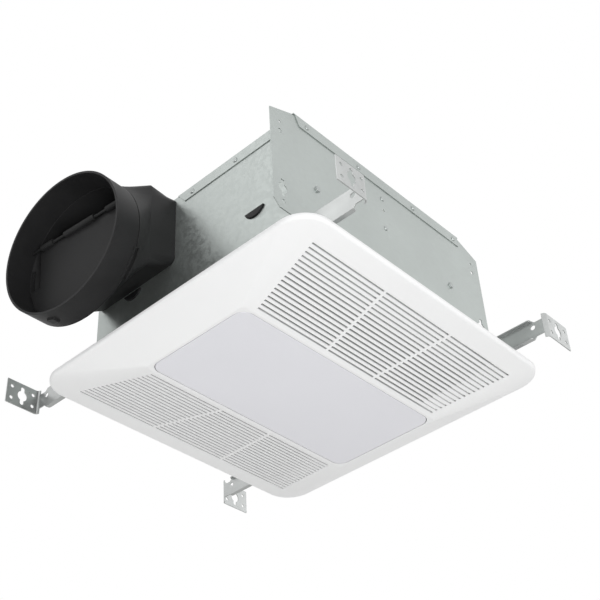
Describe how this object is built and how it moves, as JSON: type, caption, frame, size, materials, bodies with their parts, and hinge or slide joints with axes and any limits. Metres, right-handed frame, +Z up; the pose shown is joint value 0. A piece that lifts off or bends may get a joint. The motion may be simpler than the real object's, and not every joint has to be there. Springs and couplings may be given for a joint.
{
  "type": "ceiling exhaust fan with light",
  "caption": "Square ceiling extractor fan: steel housing with a side duct collar, hidden blower, shallow slotted grille round a flat light panel, and sliding hanger bars.",
  "frame": {"origin": "centre of the housing in the ceiling plane, which is the plane of the grille's rim and of the housing's open lower edge", "axes": "+Z up, away from the room; the duct collar faces -X; the mounting plate with ears faces -Y; the hanger bars slide along Y"},
  "size_m": [0.3983, 0.4368, 0.1934],
  "materials": {
    "galvanised_sheet": "galvanised, satin with a fine spangle",
    "bright_steel": "zinc plated, satin",
    "fastener_steel": "zinc plated",
    "spring_wire": "polished spring wire",
    "black_plastic": "moulded, fine grain",
    "white_plastic": "moulded, satin",
    "lens_plastic": "frosted diffuser",
    "white_metal": "white powder coat",
    "circuit_board": "white solder mask",
    "lamp_chip": "yellow phosphor",
    "motor_steel": "grey paint",
    "lamination": "stacked laminations",
    "copper_winding": "enamelled copper wire",
    "bearing_steel": "ground",
    "shaft_steel": "ground",
    "black_rubber": "soft",
    "capacitor_case": "moulded",
    "aluminium_rotor": "cast"
  },
  "bodies": {
    "housing": {"housing_shell": "galvanised_sheet", "front_mounting_plate": "galvanised_sheet", "top_lid": "galvanised_sheet", "lid_rivets": "fastener_steel", "strap_rivets": "fastener_steel", "rail_rivets": "fastener_steel", "bracket_rivets": "fastener_steel", "blower_screws": "fastener_steel", "collar_screws": "fastener_steel", "cover_screw": "fastener_steel", "wiring_box_screw": "fastener_steel", "motor_screws": "fastener_steel", "lock_screws": "fastener_steel", "duct_collar": "black_plastic", "blower_scroll": "black_plastic", "inlet_ring": "black_plastic", "damper_pin": "black_plastic", "motor_case_upper": "motor_steel", "motor_case_lower": "motor_steel", "stator_core": "lamination", "stator_windings": "copper_winding", "motor_bearings": "bearing_steel", "motor_plate": "galvanised_sheet", "motor_grommets": "black_rubber", "capacitor": "capacitor_case", "capacitor_strap": "bright_steel", "wiring_box": "galvanised_sheet", "wiring_cover": "galvanised_sheet", "light_socket": "white_plastic", "fan_socket": "white_plastic", "cable_clamp": "black_plastic", "spring_bracket_left": "bright_steel", "hanger_rail_left": "bright_steel", "spring_bracket_right": "bright_steel", "hanger_rail_right": "bright_steel"},
    "impeller": {"blower_wheel": "black_plastic", "wheel_nut": "fastener_steel", "motor_shaft": "shaft_steel", "motor_rotor": "aluminium_rotor"},
    "damper": {"damper_flap": "black_plastic"},
    "grille_cover": {"grille": "white_plastic", "light_lens": "lens_plastic", "light_tray": "white_metal", "tray_screws": "fastener_steel", "lamp_strips": "circuit_board", "lamp_chips": "lamp_chip", "lamp_driver": "white_metal", "spring_coil_left": "spring_wire", "spring_coil_right": "spring_wire", "spring_hook_left": "bright_steel", "spring_hook_right": "bright_steel"},
    "arm_left_front": {"spring_arm_left_front": "spring_wire"},
    "bar_left_front": {"hanger_bar_left_front": "bright_steel"},
    "arm_left_rear": {"spring_arm_left_rear": "spring_wire"},
    "bar_left_rear": {"hanger_bar_left_rear": "bright_steel"},
    "arm_right_front": {"spring_arm_right_front": "spring_wire"},
    "bar_right_front": {"hanger_bar_right_front": "bright_steel"},
    "arm_right_rear": {"spring_arm_right_rear": "spring_wire"},
    "bar_right_rear": {"hanger_bar_right_rear": "bright_steel"}
  },
  "joints": [
    {"name": "impeller_spin", "type": "hinge", "parent": "housing", "child": "impeller", "pos_m": [0.003, -0.002, 0.13], "axis": [0, 0, 1], "continuous": true},
    {"name": "damper_swing", "type": "hinge", "parent": "housing", "child": "damper", "pos_m": [-0.19537, 0.08227, 0.13021], "axis": [-0.0941, 0.9956, 0], "range_deg": [0, 55]},
    {"name": "grille_drop", "type": "slide", "parent": "housing", "child": "grille_cover", "axis": [0, 0, -1], "range_m": [0, 0.04], "stiffness_N_per_m": 600, "springref_m": -0.035},
    {"name": "arm_left_front_fold", "type": "hinge", "parent": "grille_cover", "child": "arm_left_front", "pos_m": [-0.112, -0.0106, 0.008], "axis": [1, 0, 0], "range_deg": [-19, 0]},
    {"name": "arm_left_rear_fold", "type": "hinge", "parent": "grille_cover", "child": "arm_left_rear", "pos_m": [-0.112, -0.0106, 0.008], "axis": [1, 0, 0], "range_deg": [0, 19]},
    {"name": "arm_right_front_fold", "type": "hinge", "parent": "grille_cover", "child": "arm_right_front", "pos_m": [0.112, -0.0106, 0.008], "axis": [1, 0, 0], "range_deg": [-19, 0]},
    {"name": "arm_right_rear_fold", "type": "hinge", "parent": "grille_cover", "child": "arm_right_rear", "pos_m": [0.112, -0.0106, 0.008], "axis": [1, 0, 0], "range_deg": [0, 19]},
    {"name": "bar_left_front_slide", "type": "slide", "parent": "housing", "child": "bar_left_front", "axis": [0, -1, 0], "range_m": [-0.058, 0.045]},
    {"name": "bar_left_rear_slide", "type": "slide", "parent": "housing", "child": "bar_left_rear", "axis": [0, 1, 0], "range_m": [-0.058, 0.045]},
    {"name": "bar_right_front_slide", "type": "slide", "parent": "housing", "child": "bar_right_front", "axis": [0, -1, 0], "range_m": [-0.058, 0.045]},
    {"name": "bar_right_rear_slide", "type": "slide", "parent": "housing", "child": "bar_right_rear", "axis": [0, 1, 0], "range_m": [-0.058, 0.045]}
  ],
  "couplings": [
    {"joint": "arm_left_front_fold", "follows": "grille_drop", "rad_per_m": -8.072},
    {"joint": "arm_left_rear_fold", "follows": "grille_drop", "rad_per_m": 8.072},
    {"joint": "arm_right_front_fold", "follows": "grille_drop", "rad_per_m": -8.072},
    {"joint": "arm_right_rear_fold", "follows": "grille_drop", "rad_per_m": 8.072}
  ]
}
